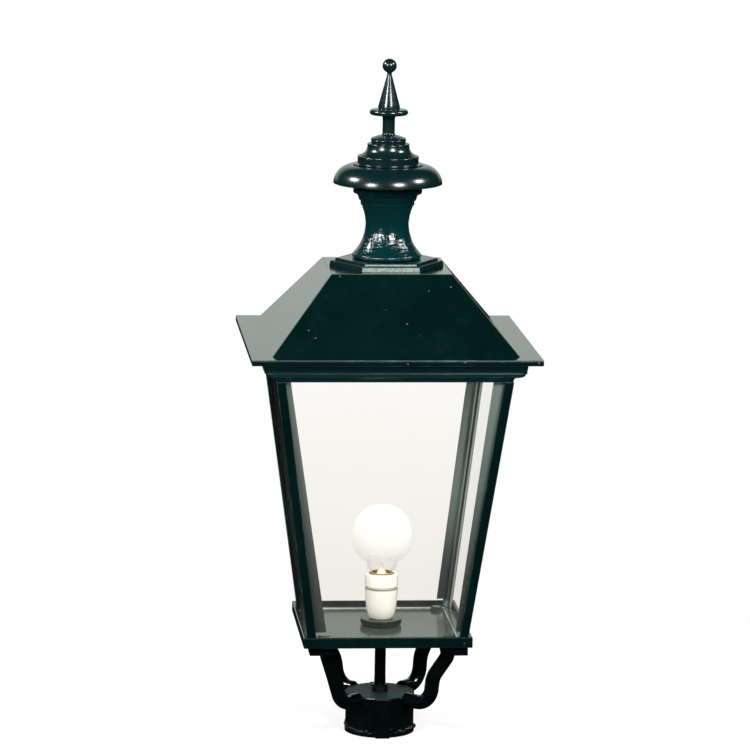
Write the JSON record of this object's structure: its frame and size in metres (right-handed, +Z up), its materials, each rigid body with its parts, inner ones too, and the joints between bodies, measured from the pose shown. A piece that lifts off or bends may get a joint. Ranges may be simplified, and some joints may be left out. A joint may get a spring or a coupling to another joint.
{
  "type": "post top lantern",
  "caption": "Square tapered post top lantern with a hinged pyramid roof, waisted chimney and finial, clear panes, a globe lamp and a socket for a round post.",
  "frame": {"origin": "centre of the post socket's open mouth, at the bottom of the lantern", "axes": "+Z up along the post, -Y towards the viewer (the face with the visible set screw), +X to the right, and the roof hinges are at +Y"},
  "size_m": [0.36, 0.36, 0.8661],
  "materials": {
    "green_paint": "deep green gloss paint on cast and sheet metal",
    "hub_paint": "worn green paint on a rough casting",
    "pipe_paint": "dark gloss paint",
    "steel": "zinc plated",
    "brass": "bright",
    "solder": "dull solder",
    "wire": "plain wire",
    "black_glass": "black insulating glass",
    "porcelain": "glazed white",
    "clear_glass": "clear float glass",
    "lamp_glass": "white frosted"
  },
  "bodies": {
    "root": {"arm_back_left": "green_paint", "arm_back_right": "green_paint", "arm_front_left": "green_paint", "arm_front_right": "green_paint", "centre_contact": "brass", "conduit_pipe": "pipe_paint", "corner_bolts": "green_paint", "earth_screw": "steel", "glass_back": "clear_glass", "glass_front": "clear_glass", "glass_left": "clear_glass", "glass_rail": "green_paint", "glass_right": "clear_glass", "glazing_bead_back_left": "green_paint", "glazing_bead_back_right": "green_paint", "glazing_bead_front_left": "green_paint", "glazing_bead_front_right": "green_paint", "hinge_pins": "steel", "holder_base": "green_paint", "hub_plate": "hub_paint", "lamp_shell": "brass", "lampholder_body": "porcelain", "lampholder_ring": "porcelain", "pipe_nut_hub": "pipe_paint", "pipe_nut_socket": "steel", "pipe_nut_tray": "steel", "post_back_left": "green_paint", "post_back_right": "green_paint", "post_front_left": "green_paint", "post_front_right": "green_paint", "post_socket": "green_paint", "terminal_block": "porcelain", "terminal_screws": "brass", "top_frame": "green_paint", "tray": "green_paint"},
    "roof": {"roof_shell": "green_paint", "roof_hem": "green_paint", "hex_plinth": "green_paint", "chimney": "green_paint", "vent_cap": "green_paint", "finial": "green_paint", "tie_rod": "steel", "clamp_bar": "steel", "clamp_washer": "steel", "tie_rod_nut": "steel", "hinge_leaves": "green_paint"},
    "lamp_carrier": {"bulb_tip": "solder"},
    "lamp": {"bulb_glass": "lamp_glass", "bulb_cap": "brass", "bulb_insulator": "black_glass", "bulb_stem": "lamp_glass", "bulb_filament": "wire"},
    "set_screw_front": {"set_screw_1": "steel"},
    "set_screw_back": {"set_screw_2": "steel"}
  },
  "joints": [
    {"name": "roof_hinge", "type": "hinge", "parent": "root", "child": "roof", "pos_m": [0, 0.1725, 0.4975], "axis": [-1, 0, 0], "range_deg": [0, 100]},
    {"name": "lamp_turn", "type": "hinge", "parent": "lamp_carrier", "child": "lamp", "pos_m": [0, 0, 0.2], "axis": [0, 0, 1], "range_deg": [0, 1800]},
    {"name": "lamp_rise", "type": "slide", "parent": "root", "child": "lamp_carrier", "axis": [0, 0, 1], "range_m": [0, 0.0182]},
    {"name": "set_screw_front_travel", "type": "slide", "parent": "root", "child": "set_screw_front", "axis": [0, 1, 0], "range_m": [0, 0.004]},
    {"name": "set_screw_back_travel", "type": "slide", "parent": "root", "child": "set_screw_back", "axis": [0, -1, 0], "range_m": [0, 0.004]}
  ],
  "couplings": [
    {"joint": "lamp_rise", "follows": "lamp_turn", "m_per_rad": 0.00057757}
  ]
}
